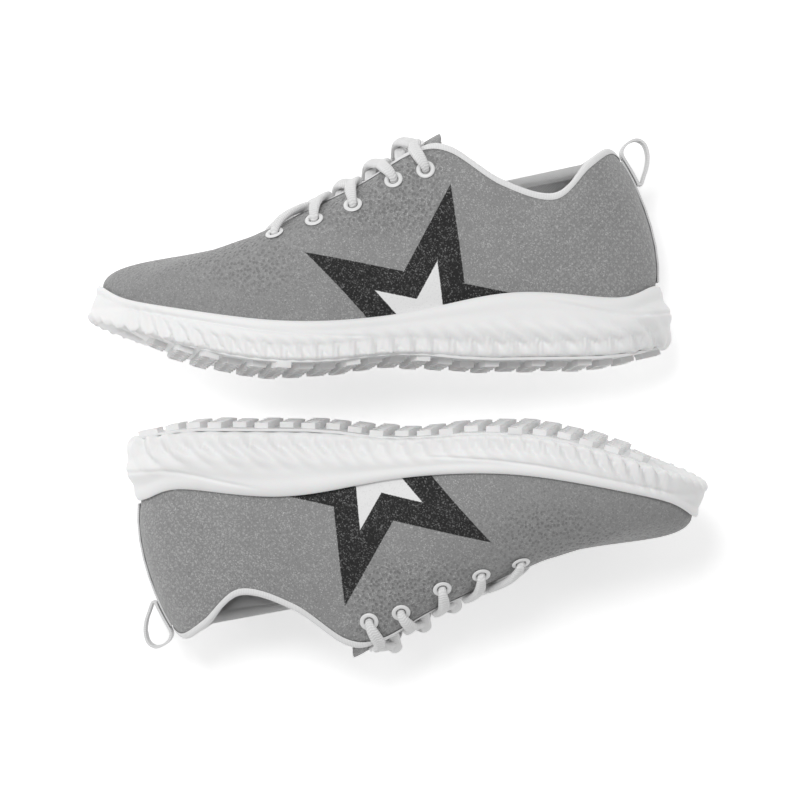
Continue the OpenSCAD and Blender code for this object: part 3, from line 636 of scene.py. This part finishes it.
def round_the_sole(local):
    """Distance of each point round the edge of the sole from the tip of the toe, in millimetres."""
    half = spline_through(SOLE_OUTLINE, 16)
    line = half.copy()
    line[:, 1] += bend(line[:, 0])
    other = half.copy()
    other[:, 1] = -half[:, 1] + bend(half[:, 0])
    lengths = run_length(line)
    tree = plan_tree(np.vstack([line, other]))
    run = np.concatenate([lengths, lengths])
    found = np.empty(len(local))
    for i, p in enumerate(local):
        near = tree.find_n((p[0], p[1], 0), 2)
        d = np.array([n[2] for n in near]) + 1e-6
        k = np.array([n[1] for n in near])
        found[i] = (run[k] / d).sum() / (1 / d).sum()
    return found


def edge_distance(local):
    """How far each point lies inside the widest outline of the sole, in millimetres."""
    half = spline_through(SOLE_OUTLINE, 24)
    rim = np.vstack([half, half * [1, -1]])
    rim[:, 1] += bend(rim[:, 0])
    tree = plan_tree(rim)
    return np.array([tree.find((p[0], p[1], 0))[2] for p in local])


def flute_count(run):
    """Number of flutes between the toe and a place round the sole: close at the toe, wide at the heel."""
    table = np.array([(0, 8.0), (120, 8.4), (170, 9.6), (215, 10.4), (250, 11.8), (340, 11.9)], float)
    steps = np.arange(0, 360, 0.5)
    pitch = np.interp(steps, table[:, 0], table[:, 1])
    return np.interp(run, steps, np.cumsum(0.5 / pitch))


def valley(distance, width):
    return np.exp(-(distance / width) ** 2)


def height_above(line, x):
    line = np.array(line, float)
    return np.interp(x, line[:, 0], line[:, 1])


RIM_CREASE = [(0, 25.4), (8, 24.4), (18, 23.6), (29, 23.8), (40, 25.4), (52, 28), (69, 31)]
TOE_CREASE = [(144, 14.2), (160, 14.6), (181, 15.6), (200, 17.8), (220, 21.6), (240, 26), (258, 30.4),
              (272, 35)]
HEEL_BAND = [(0, 19.2), (23, 18.8), (45, 19.8), (69, 21.4), (95, 21.6), (120, 19.5)]


def carve_sole(piece, side):
    """Slanting flutes, scalloped lower edge and the moulded creases on the wall of the midsole."""
    places = points_of(piece)
    normals = normals_of(piece)
    local = in_shoe(side, places)
    facing = normals @ AXES[side][1].T
    run = round_the_sole(local)
    x, z = local[:, 0], local[:, 2]
    h = z - ground(x) - SOLE_BASE
    flat = np.stack([facing[:, 0], facing[:, 1]], 1)
    flat /= np.maximum(np.linalg.norm(flat, axis=1), 1e-6)[:, None]
    away = away_from_middle(local)
    outside = ease(((flat * away).sum(axis=1) + 0.1) / 0.3)
    wall = ease((1 - np.abs(facing[:, 2]) - 0.02) / 0.25) * outside
    edge = edge_distance(local)
    # the wall comes down nearly straight and ends in a lip round the tread sheet
    low = ease((7.0 - h) / 7.0)
    near_edge = ease((9.5 - edge) / 2.5)
    spread = LIP_REACH * low * near_edge * (h < 8)
    drop = (2.6 + 1.3 * ease((4 - edge) / 2.5)) * ease((6.0 - h) / 3.8) * ease((12 - edge) / 3)
    heelward = ease((run - 165) / 60)
    reach = 11.5 + 8.0 * heelward
    slant = 0.8 + 0.35 * heelward
    turn = flute_count(run + slant * h)
    ridge = np.sin(np.pi * (turn % 1) ** 1.25) ** 1.4
    fade = np.clip(1 - h / reach, 0, 1)
    depth = (3.4 + 0.3 * heelward) * fade ** 1.1 * (1 - ridge)
    # scallops: the bottom of each ridge swells and hangs lower than the grooves beside it
    hang = ease((6.5 - h) / 6.5)
    swollen = 0.6 * hang * ridge * wall
    drop = drop * (0.84 + 0.16 * ridge)
    depth = depth * wall * ease((264 - x) / 16) * ease((x - 3) / 12)
    crease = 0.6 * valley(z - height_above(RIM_CREASE, x), 0.75) * ease((72 - x) / 18)
    crease += 0.5 * valley(z - height_above(TOE_CREASE, x), 0.7) * ease((x - 140) / 16)
    crease += 0.7 * valley(z - height_above(HEEL_BAND, x), 3.2) * ease((125 - x) / 40)
    places = places - normals * ((depth + crease * wall - swollen) / 1000)[:, None]
    sideways = np.stack([away[:, 0] * spread, away[:, 1] * spread, -drop], 1)
    put_points(piece, places + sideways / 1000 @ AXES[side][1])


def make_midsole(side):
    """The foam cup, its wall cut finely enough for the flutes to be carved in it."""
    piece = merged_copy(f"{side}_midsole", f"{side}_foam_sole")
    rounded(piece, 3)
    local = in_shoe(side, points_of(piece))
    facing = normals_of(piece) @ AXES[side][1].T
    mesh = piece.data
    ends = np.empty(len(mesh.edges) * 2, int)
    mesh.edges.foreach_get("vertices", ends)
    ends = ends.reshape(-1, 2)
    step = local[ends[:, 1]] - local[ends[:, 0]]
    length = np.linalg.norm(step, axis=1)
    middle = local[ends].mean(axis=1)
    wall = np.abs(facing[ends, 2]).max(axis=1) < 0.93
    level = np.abs(step[:, 2]) < 0.45 * length
    low = middle[:, 2] < ground(middle[:, 0]) + 24
    round_the_wall = level & wall & low & (length > 0.9)
    edit(piece, "EDGE")
    bpy.ops.mesh.select_all(action="DESELECT")
    done()
    mesh.edges.foreach_set("select", round_the_wall)
    edit(piece, "EDGE")
    bpy.ops.mesh.subdivide(number_cuts=1, ngon=False)
    done()
    carve_sole(piece, side)
    return settle(piece, side, "shoe", FOAM, ["midsole"])


def make_outsole(side):
    """Tread sheet with its lugs; each lug has a raised rim round a sunk face."""
    piece = merged_copy(f"{side}_outsole", f"{side}_tread_sole")
    edit(piece, "FACE")
    bpy.ops.mesh.select_all(action="SELECT")
    bpy.ops.mesh.dissolve_limited(angle_limit=math.radians(1.5))
    bpy.ops.mesh.select_all(action="DESELECT")
    done()
    places = points_of(piece)
    local = in_shoe(side, places)
    away = away_from_middle(local)
    reach = TREAD_REACH * ease((14.0 - edge_distance(local)) / 6.0)
    outward_by = np.stack([away[:, 0] * reach, away[:, 1] * reach, 0 * reach], 1)
    put_points(piece, places + outward_by / 1000 @ AXES[side][1])
    local = in_shoe(side, face_centres(piece))
    facing = face_normals(piece) @ AXES[side][1].T
    lug_faces = (facing[:, 2] < -0.8) & (local[:, 2] < ground(local[:, 0]) + 0.9)
    piece.data.polygons.foreach_set("select", lug_faces)
    edit(piece, "FACE")
    bpy.ops.mesh.inset(thickness=LUG_RIM, use_individual=True)
    bpy.ops.mesh.inset(thickness=LUG_SLOPE, depth=-LUG_SINK, use_individual=True)
    done()
    apply(piece, "BEVEL", width=0.0004, segments=2, limit_method="ANGLE", angle_limit=math.radians(35))
    return settle(piece, side, "shoe", TREAD, ["outsole"], sharp=40)


# ---------------------------------------------------------------- the last: the upper's own surface
# Rows from the toe (0) to the heel (12) on the outer side; past 12 the inner side comes back to the toe.
HEEL_ROW, FULL_TURN = 12, 24
TOPLINE = [(195, 0, 66), (193, 5, 66.6), (188.5, 9, 68.4), (180, 11.5, 72.3), (166, 13.8, 79),
           (146, 16.5, 88.6), (124, 20.8, 101.6), (108, 26, 102), (84, 31, 85.6), (59, 32.6, 78.6),
           (42, 28.6, 93.5), (31, 17, 100.8), (24.5, 0, 98.4)]
RISE = [(0.5, 0, 18), (1, 1, 16), (1, 2, 16), (0, 2.5, 17), (-1, 2.5, 22), (-4, 2.5, 27), (-4, 3, 24),
        (-2, 3.5, 20), (0, 4.5, 15), (-1, 4, 15), (-2, 3, 18), (-2.5, 1.5, 19), (-2.5, 0, 19.6)]
FALL = [(30, 0, -14), (31, 4.5, -13.5), (28, 8.5, -11), (22, 12, -9), (16, 14, -8), (12, 13, -9),
        (7, 10, -16), (3, 5.5, -24), (0, 1.5, -15), (-1, 1.5, -15), (-5, 2, -18), (-9, 2, -17),
        (-10.5, 0, -16)]
FEATHER = [(0, 39), (8, 38.4), (14, 35), (24, 31.9), (36, 32), (60, 34.4), (80, 35), (100, 32), (126, 26.3),
           (150, 23.2), (172, 21.9), (195, 22.8), (220, 26.4), (245, 31.2), (260, 35), (267, 38.4),
           (274, 44.6)]
OUTLINE = [(x, y, 0) for x, y in SOLE_OUTLINE]
KNIT_T, STIFFENER_T, GAP_T, LINING_T = 1.3, 1.1, 0.2, 0.9
LINING_OUT = KNIT_T + STIFFENER_T + GAP_T
KNIT_SHEET, LINING_SHEET = 0.0012, 0.0008  # a hair thinner than the CAD's, in metres


def round_rows(rows, u):
    """Smooth values round the last from a table of its rows."""
    table = np.array(rows, float)
    table = np.vstack([table, table[-2:0:-1] * [1, -1, 1]])
    k = np.floor(u).astype(int)
    t = (u - k)[:, None]
    a, b, c, d = (table[(k + i) % FULL_TURN] for i in (-1, 0, 1, 2))
    return smooth_join(a, b, c, d, t)


def feather_height(x):
    """Height of the visible edge between sole and upper."""
    table = np.array(FEATHER, float)
    k = np.clip(np.searchsorted(table[:, 0], x, side="right") - 1, 0, len(table) - 2)
    t = np.clip((x - table[k, 0]) / (table[k + 1, 0] - table[k, 0]), 0, 1)
    a, b, c, d = (table[np.clip(k + i, 0, len(table) - 1), 1] for i in (-1, 0, 1, 2))
    return smooth_join(a, b, c, d, t)


def unit(v):
    return v / np.maximum(np.linalg.norm(v, axis=1), 1e-9)[:, None]


def inset(u, depth):
    d = round_rows(OUTLINE, u + 0.02) - round_rows(OUTLINE, u - 0.02)
    return round_rows(OUTLINE, u) + unit(np.stack([-d[:, 1], d[:, 0], 0 * u], 1)) * depth[:, None]


def cup(x):
    """Level of the bottom of the cup in which the upper stands."""
    return 24 - 8 * ease((x - 50) / 120) + np.where(x > 180, 0.0026 * (x - 180) ** 2, 0)


def skin(u, v):
    """Outer face of the upper: v is -1 at the board, 0 at the sole's edge and 1 at the top line."""
    edge = 4.5 + 3.5 * (1 - ease(round_rows(OUTLINE, u)[:, 0] / 95))
    foot, heel_foot = inset(u, edge), inset(u, edge + 2)
    foot[:, 2] = feather_height(foot[:, 0])
    heel_foot[:, 2] = cup(heel_foot[:, 0])
    top = round_rows(TOPLINE, u)
    t = np.clip(v, 0, 1)[:, None]
    risen, fallen = foot + round_rows(RISE, u), top + round_rows(FALL, u)
    wall = foot * (1 - t) ** 3 + risen * 3 * t * (1 - t) ** 2 + fallen * 3 * t * t * (1 - t) + top * t ** 3
    below = np.clip(-v, 0, 1)[:, None]
    return np.where(v[:, None] < 0, foot * (1 - below) + heel_foot * below, wall)


def outward(u, v):
    w = np.maximum(v, 0.02)
    a = skin(u + 0.05, w) - skin(u - 0.05, w)
    b = skin(u, np.minimum(w + 0.02, 1)) - skin(u, w - 0.02)
    n = unit(np.cross(a, b))
    below = np.clip(-v, 0, 1)[:, None]
    return np.where(v[:, None] < 0, unit(n * (1 - below) + n * [1, 1, 0] * below), n)


def from_toe(u):
    """Row of the last counted from the toe on either side."""
    return np.where(u > HEEL_ROW, FULL_TURN - u, u)


def swell(u, v):
    """How far the padding of the collar lifts the lining."""
    r = from_toe(u)
    return 5.5 * ease((r - 7.1) / 1.6) * ease((v - 0.44) / 0.3) * (1 - 0.6 * ease((v - 0.82) / 0.18))


def in_row(side, local):
    """Places in the row, in metres, from a shoe's own, in millimetres and before the sole's bend."""
    heel, axes = AXES[side]
    bent = local + np.stack([0 * local[:, 0], bend(local[:, 0]), 0 * local[:, 0]], 1)
    return heel + bent / 1000 @ axes


def net(name, columns, rows):
    """A flat net of quads; its corners' own places across (0 to 1) and up (0 to 1) come back with it."""
    bpy.ops.mesh.primitive_grid_add(x_subdivisions=columns, y_subdivisions=rows, size=1)
    piece = bpy.context.object
    piece.name = piece.data.name = name
    flat = points_of(piece)
    return piece, flat[:, 0] + 0.5, flat[:, 1] + 0.5


def keep_lay(piece, along, across):
    """Keeps the length along and across a strip on its points, in millimetres, for its weave."""
    made = piece.data.attributes.new("lay", "FLOAT_VECTOR", "POINT")
    lay = np.stack([along, across, np.zeros(len(along))], 1)
    made.data.foreach_set("vector", lay.astype(np.float32).ravel())


def sew_round(piece, looks_out):
    """Joins the two ends of a net that goes right round, and turns its faces to look the right way."""
    edit(piece)
    bpy.ops.mesh.select_all(action="SELECT")
    bpy.ops.mesh.remove_doubles(threshold=1e-6)
    done()
    if not looks_out:
        edit(piece)
        bpy.ops.mesh.select_all(action="SELECT")
        bpy.ops.mesh.flip_normals()
        done()


def eyelet_centres(side):
    """Centres of the eyelets, from the loose parts of their CAD node."""
    piece = merged_copy(f"{side}_eyelets", "measure")
    edit(piece)
    bpy.ops.mesh.select_all(action="SELECT")
    bpy.ops.mesh.separate(type="LOOSE")
    done()
    found = []
    for part in list(bpy.context.selected_objects):
        found.append(points_of(part).mean(axis=0))
        bpy.data.meshes.remove(part.data)
    return in_shoe(side, np.array(found))


EYELETS = {side: eyelet_centres(side) for side in AXES}


# ---------------------------------------------------------------- upper and lining
def make_upper(side):
    """The knitted upper: padded round the collar, pressed at the eyelets, creased where the foot flexes."""
    piece, across, up = net(f"{side}_knit_upper", 432, 56)
    u, v = across * FULL_TURN, -1 + 2 * up
    v = np.where(v < 0, v, v ** 0.95)
    local = skin(u, v)
    n = outward(u, v)
    r = from_toe(u)
    lift = 0.5 * ease((r - 7.4) / 1.4) * ease((v - 0.6) / 0.2) * ease((1 - v) / 0.12)
    lift = lift - 0.35 * valley(v - 0.02, 0.05)
    for centre in EYELETS[side]:
        d = np.linalg.norm(local + np.stack([0 * u, bend(local[:, 0]), 0 * u], 1) - centre, axis=1)
        lift = lift - 0.25 * valley(d, 5.0)
    # flex creases where the forefoot bends
    x, z = local[:, 0], local[:, 2]
    crease = np.sin(x * 0.42 + 0.03 * z) * valley(x - 196, 14) * ease((v - 0.15) / 0.3)
    lift = lift + 0.16 * crease
    put_points(piece, in_row(side, local + n * lift[:, None]))
    sew_round(piece, looks_along(piece, side, n))
    apply(piece, "SOLIDIFY", thickness=KNIT_SHEET, offset=-1)
    return settle(piece, side, "shoe", KNIT, ["upper"])


def looks_along(piece, side, n):
    """True if the net's faces look the way the directions in n do."""
    return float((normals_of(piece) @ AXES[side][1].T * n).sum()) > 0


def make_lining(side):
    """The lining, lifted by the collar's padding and tucked by its seam."""
    piece, across, up = net(f"{side}_collar_lining", 288, 44)
    u, v = across * FULL_TURN, -0.8 + 1.8 * up
    n = outward(u, v)
    depth = LINING_OUT + LINING_T + swell(u, v)
    r = from_toe(u)
    tuck = 0.35 * valley(v - 0.5, 0.012) * ease((r - 7.6) / 1)
    put_points(piece, in_row(side, skin(u, v) - n * (depth - tuck)[:, None]))
    sew_round(piece, looks_along(piece, side, -n))
    apply(piece, "SOLIDIFY", thickness=LINING_SHEET, offset=-1)
    return settle(piece, side, "shoe", COLLAR_CLOTH, ["lining"])


def make_binding(side):
    """The folded tape that closes the cut edge, with its roll and its row of stitches."""
    piece, across, up = net(f"{side}_edge_binding", 720, 18)
    u = across * FULL_TURN
    ends = np.ones(len(u))
    p, n = skin(u, ends), outward(u, ends)
    m = unit(skin(u, ends) - skin(u, ends * 0.97))
    d = LINING_OUT + LINING_T + swell(u, ends)
    section = spline_through([(-0.35, -1.15), (-0.62, -0.5), (-0.66, 0.5), (-0.42, 1.5), (0.5, 2.2)], 10)
    section_in = spline_through([(-0.5, 2.2), (0.42, 1.5), (0.62, 0.5), (0.55, -0.5), (0.3, -1.15)], 10)
    share = np.linspace(0, 1, len(section))
    s_out, s_in = np.clip(up * 2, 0, 1), np.clip(up * 2 - 1, 0, 1)
    first = up <= 0.5
    depth = np.where(first, np.interp(s_out, share, section[:, 0]),
                     d + np.interp(s_in, share, section_in[:, 0]))
    rise = np.where(first, np.interp(s_out, share, section[:, 1]), np.interp(s_in, share, section_in[:, 1]))
    local = p - n * depth[:, None] + m * rise[:, None]
    line = np.linspace(0, FULL_TURN, 60 * FULL_TURN + 1)
    length = run_length(skin(line, np.ones(len(line))))
    along = np.interp(u, line, length)
    stitch = valley(rise + 0.45, 0.3) * first
    dents = (np.abs(((along / 2.6) % 1) - 0.5) < 0.36) * stitch
    local = local + n * (0.16 * dents - 0.12 * stitch)[:, None]
    put_points(piece, in_row(side, local))
    around = np.where(first, s_out * 3.6, 3.6 + d + s_in * 3.6)
    keep_lay(piece, along, around)
    sew_round(piece, looks_along(piece, side, n * np.where(first, 1, -1)[:, None]))
    edit(piece, "EDGE")
    bpy.ops.mesh.select_all(action="DESELECT")
    bpy.ops.mesh.select_non_manifold()
    bpy.ops.mesh.bridge_edge_loops()
    done()
    return settle(piece, side, "shoe", BINDING, ["topline_binding"])


# ---------------------------------------------------- straps, laces and padding from their CAD shapes
def rings_from_end(piece, first):
    """Step count of every point along a strip, from the points marked in first."""
    mesh = piece.data
    neighbours = [[] for _ in mesh.vertices]
    for edge in mesh.edges:
        a, b = edge.vertices
        neighbours[a].append(b)
        neighbours[b].append(a)
    ring = np.full(len(neighbours), -1)
    ring[first] = 0
    todo = list(np.flatnonzero(first))
    for a in todo:
        for b in neighbours[a]:
            if ring[b] < 0:
                ring[b] = ring[a] + 1
                todo.append(b)
    return ring


LACE_WIDE = (-0.86, 0, 0.5)  # the way the lace's broad side runs, in the shoe's own frame
LACE_END_REACH = 3.2  # all the corners of the lace's end lie within this distance, in millimetres
LACE_PUFF = 0.00055  # how far the woven cover stands out from the CAD's flat section, in metres


def make_lace(side):
    """The lace with its length and width kept for the weave, and puffed out to its round cover."""
    piece = merged_copy(f"{side}_lace", f"{side}_woven_lace")
    local = in_shoe(side, points_of(piece))
    # the lace is counted from the end that hangs lowest on the outer side of the shoe
    tail = np.argmin(np.where(local[:, 1] > 0, local[:, 2], np.inf))
    first = np.linalg.norm(local - local[tail], axis=1) < LACE_END_REACH
    ring = rings_from_end(piece, first)
    centres = np.array([local[ring == k].mean(axis=0) for k in range(ring.max() + 1)])
    length = run_length(centres)
    flat = LACE_WIDE / np.linalg.norm(LACE_WIDE)
    run = np.gradient(centres, axis=0)
    run /= np.linalg.norm(run, axis=1)[:, None]
    wide = flat - run * (run @ flat)[:, None]
    wide /= np.linalg.norm(wide, axis=1)[:, None]
    across = ((local - centres[ring]) * wide[ring]).sum(axis=1)
    keep_lay(piece, length[ring], across)
    rounded(piece, 2)
    put_points(piece, points_of(piece) + normals_of(piece) * LACE_PUFF)
    return settle(piece, side, "shoe", LACE, ["lace"])


TAPE_EDGE, FIRM_EDGE = 0.00018, 0.00015  # how far the edges of tapes and of firm pieces are broken, in metres


def make_strap(node, name, side, body):
    """A flat tape from its CAD shape, with its length and width kept for the weave."""
    piece = merged_copy(f"{side}_{node}", name)
    local = in_shoe(side, points_of(piece))
    keep_lay(piece, local[:, 2], local[:, 1])
    edit(piece)
    bpy.ops.mesh.select_all(action="SELECT")
    bpy.ops.mesh.subdivide(number_cuts=2, smoothness=0)
    done()
    apply(piece, "BEVEL", width=TAPE_EDGE, segments=2, limit_method="ANGLE", angle_limit=math.radians(50))
    return settle(piece, side, body, WEBBING, [node], sharp=50)


def make_smooth_copy(node, name, side, body, finish_used, crease):
    """A soft piece from its CAD shape, rounded, with its edges kept as firm as crease says."""
    piece = merged_copy(f"{side}_{node}", name)
    edit(piece, "EDGE")
    bpy.ops.mesh.select_all(action="DESELECT")
    bpy.ops.mesh.edges_select_sharp(sharpness=math.radians(45))
    bpy.ops.transform.edge_crease(value=crease)
    done()
    rounded(piece, 2)
    return settle(piece, side, body, finish_used, [node])


def make_edged_copy(node, name, side, body, finish_used):
    """A firm piece from its CAD shape, with its edges broken."""
    piece = merged_copy(f"{side}_{node}", name)
    apply(piece, "BEVEL", width=FIRM_EDGE, segments=2, limit_method="ANGLE", angle_limit=math.radians(35))
    return settle(piece, side, body, finish_used, [node], sharp=40)


set_camera()
set_studio()
for side in AXES:
    make_midsole(side)
    make_outsole(side)
    make_upper(side)
    make_lining(side)
    make_binding(side)
    make_lace(side)
    make_edged_copy("eyelets", f"{side}_lacquered_eyelets", side, "shoe", EYELET)
    make_edged_copy("aglets", f"{side}_lace_tips", side, "shoe", TIP)
    make_smooth_copy("tongue_cover", f"{side}_tongue_face", side, "tongue", PLAIN_KNIT, 0.6)
    make_smooth_copy("tongue_lining", f"{side}_tongue_back", side, "tongue", COLLAR_CLOTH, 0.6)
    make_smooth_copy("tongue_foam", f"{side}_tongue_padding", side, "tongue", PADDING,
                               0.3)
    make_smooth_copy("collar_foam", f"{side}_collar_padding", side, "shoe", PADDING,
                               0.3)
    make_smooth_copy("insole", f"{side}_insole_pad", side, "insole", INSOLE_CLOTH,
                               0.5)
    make_edged_copy("lace_keeper", f"{side}_keeper_tab", side, "tongue", WEBBING)
    make_strap("heel_tape", f"{side}_heel_tape_woven", side, "shoe")
    make_strap("pull_loop", f"{side}_heel_loop", side, "loop")
    for name, finish_used in (("lasting_board", BOARD), ("toe_puff", STIFFENER), ("heel_counter", STIFFENER),
                              ("eyestay_backing", BACKING)):
        node = nodes[f"{side}_{name}"]
        node.data.materials.clear()
        node.data.materials.append(finish_used)
